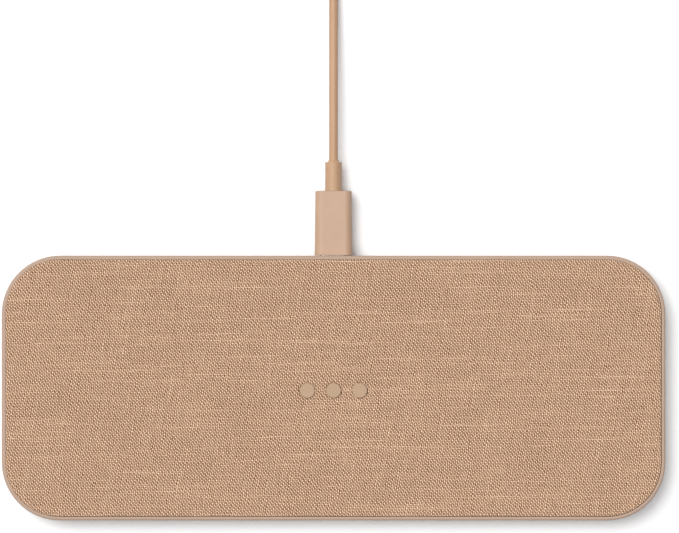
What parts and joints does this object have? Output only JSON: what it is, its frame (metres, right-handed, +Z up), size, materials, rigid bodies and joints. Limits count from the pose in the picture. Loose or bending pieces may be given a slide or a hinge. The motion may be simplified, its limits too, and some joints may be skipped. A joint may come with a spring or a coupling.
{
  "type": "wireless charging pad",
  "caption": "Flat rounded-rectangle wireless charging pad with a linen top, raised marker dots, a smooth rim and a plug-in USB-C lead.",
  "frame": {"origin": "under the middle of the pad, on the surface it stands on", "axes": "+X along the pad's length to the right, +Y to the back where the lead plugs in, +Z up through the linen"},
  "size_m": [0.198, 0.212, 0.0101],
  "materials": {
    "housing_plastic": "fine matte tan moulding with a soft-touch coat",
    "cover_plastic": "matte tan moulding, slightly darker than the rim",
    "foot_silicone": "matte tan silicone with a fine grip texture",
    "linen": "plain-weave tan linen",
    "foam": "thin off-white foam",
    "plate_plastic": "plain black moulding",
    "stud_silicone": "smooth tan silicone",
    "screw_steel": "zinc-plated",
    "litz_copper": "enamelled copper litz wire",
    "ferrite": "sintered dark grey tile",
    "shield_aluminium": "plain rolled sheet",
    "lead_insulation": "thin wire insulation",
    "board_laminate": "green solder mask",
    "chip_epoxy": "moulded epoxy",
    "capacitor_ceramic": "beige ceramic with tinned ends",
    "inductor_ferrite": "pressed ferrite block",
    "crystal_can": "plated can",
    "led_body": "white reflector body",
    "light_pipe_clear": "clear acrylic rod with a frosted end",
    "port_steel": "deep-drawn stainless shell",
    "port_insulator": "black insulator with gilt contacts",
    "plug_steel": "deep-drawn stainless shell",
    "plug_insulator": "black insulator with gilt contacts",
    "overmould": "smooth satin tan elastomer",
    "card_laminate": "green solder mask",
    "cable_jacket": "smooth satin tan jacket",
    "tie_strap": "tan hook-and-loop strap"
  },
  "bodies": {
    "pad": {"housing_frame": "housing_plastic", "bottom_cover": "cover_plastic", "foot_sheet": "foot_silicone", "cover_screws": "screw_steel", "linen_cover": "linen", "foam_backing": "foam", "top_plate": "plate_plastic", "marker_studs": "stud_silicone", "coil_left": "litz_copper", "ferrite_left": "ferrite", "shield_left": "shield_aluminium", "thermistor_left": "chip_epoxy", "coil_leads_left": "lead_insulation", "coil_right": "litz_copper", "ferrite_right": "ferrite", "shield_right": "shield_aluminium", "thermistor_right": "chip_epoxy", "coil_leads_right": "lead_insulation", "circuit_board": "board_laminate", "board_screws": "screw_steel", "charging_controllers": "chip_epoxy", "power_delivery_chip": "chip_epoxy", "bridge_transistors": "chip_epoxy", "resonant_capacitors": "capacitor_ceramic", "input_capacitors": "capacitor_ceramic", "power_inductor": "inductor_ferrite", "clock_crystal": "crystal_can", "status_leds": "led_body", "light_pipes": "light_pipe_clear", "port_shell": "port_steel", "port_tongue": "port_insulator"},
    "cable": {"plug_shell": "plug_steel", "plug_insulator": "plug_insulator", "plug_overmould": "overmould", "plug_card": "card_laminate", "plug_strain_relief": "overmould", "far_plug_shell": "plug_steel", "far_plug_insulator": "plug_insulator", "far_plug_overmould": "overmould", "far_plug_card": "card_laminate", "far_plug_strain_relief": "overmould", "cable_run": "cable_jacket", "cable_coil": "cable_jacket", "cable_tail": "cable_jacket", "cable_tie": "tie_strap"}
  },
  "joints": [
    {"name": "plug_slide", "type": "slide", "parent": "pad", "child": "cable", "axis": [0, 1, 0], "range_m": [0, 0.012]}
  ]
}
